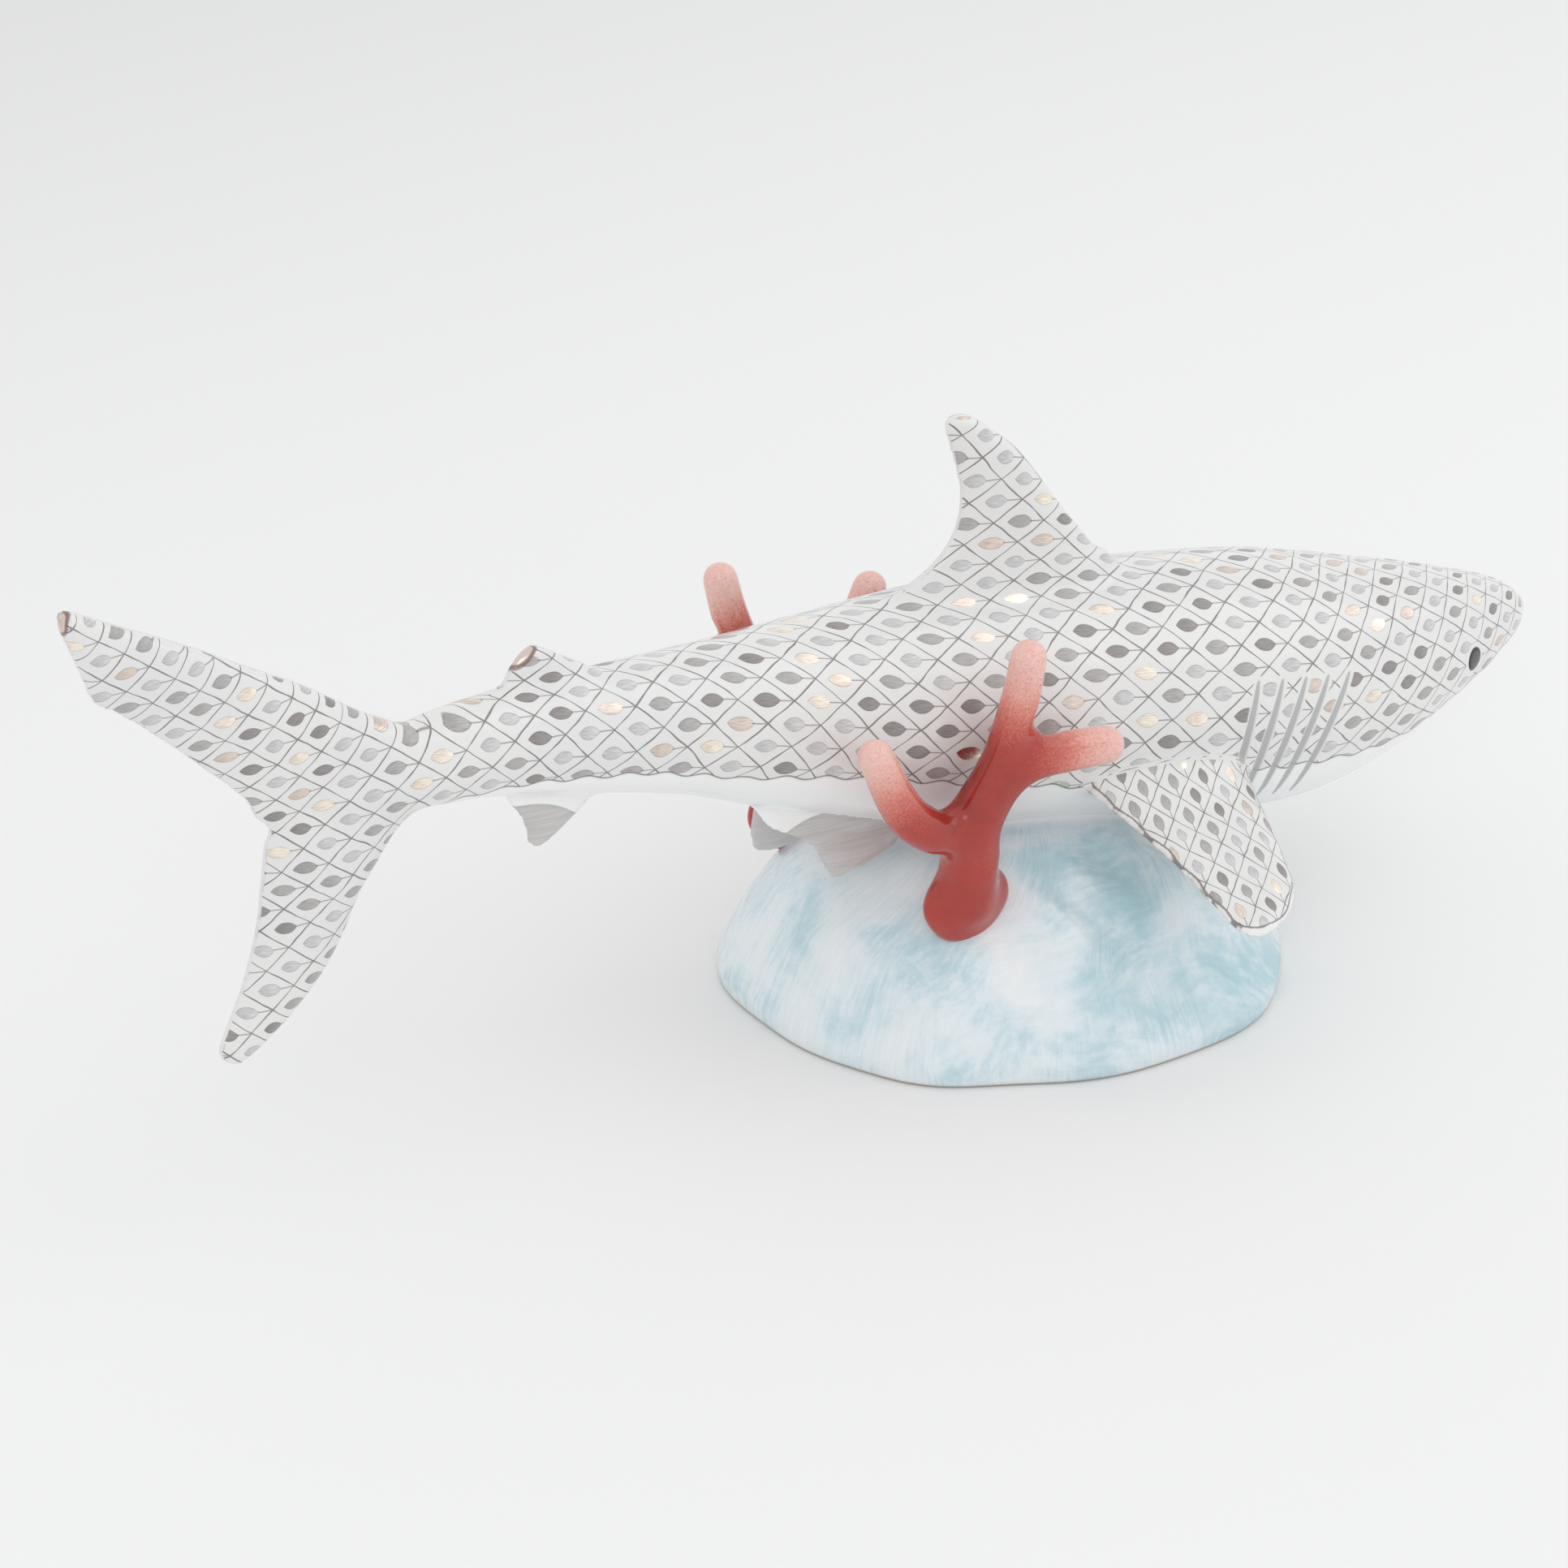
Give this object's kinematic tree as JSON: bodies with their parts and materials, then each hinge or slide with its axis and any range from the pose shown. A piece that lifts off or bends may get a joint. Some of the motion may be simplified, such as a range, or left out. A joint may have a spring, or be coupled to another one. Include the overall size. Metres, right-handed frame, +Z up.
{
  "type": "shark figurine",
  "caption": "Glazed porcelain figurine of a shark swimming over a wave-shaped foot with coral branches, for display on a shelf or table.",
  "frame": {"origin": "centre of the figurine's outer box in plan, on the table under its foot", "axes": "+X along the shark from tail to snout, +Y to the shark's left, +Z up"},
  "size_m": [0.3344, 0.1332, 0.1383],
  "materials": {
    "glazed_porcelain": "glossy clear glaze over white porcelain with painted pattern"
  },
  "bodies": {
    "root": {"shark_figurine": "glazed_porcelain"}
  },
  "joints": []
}
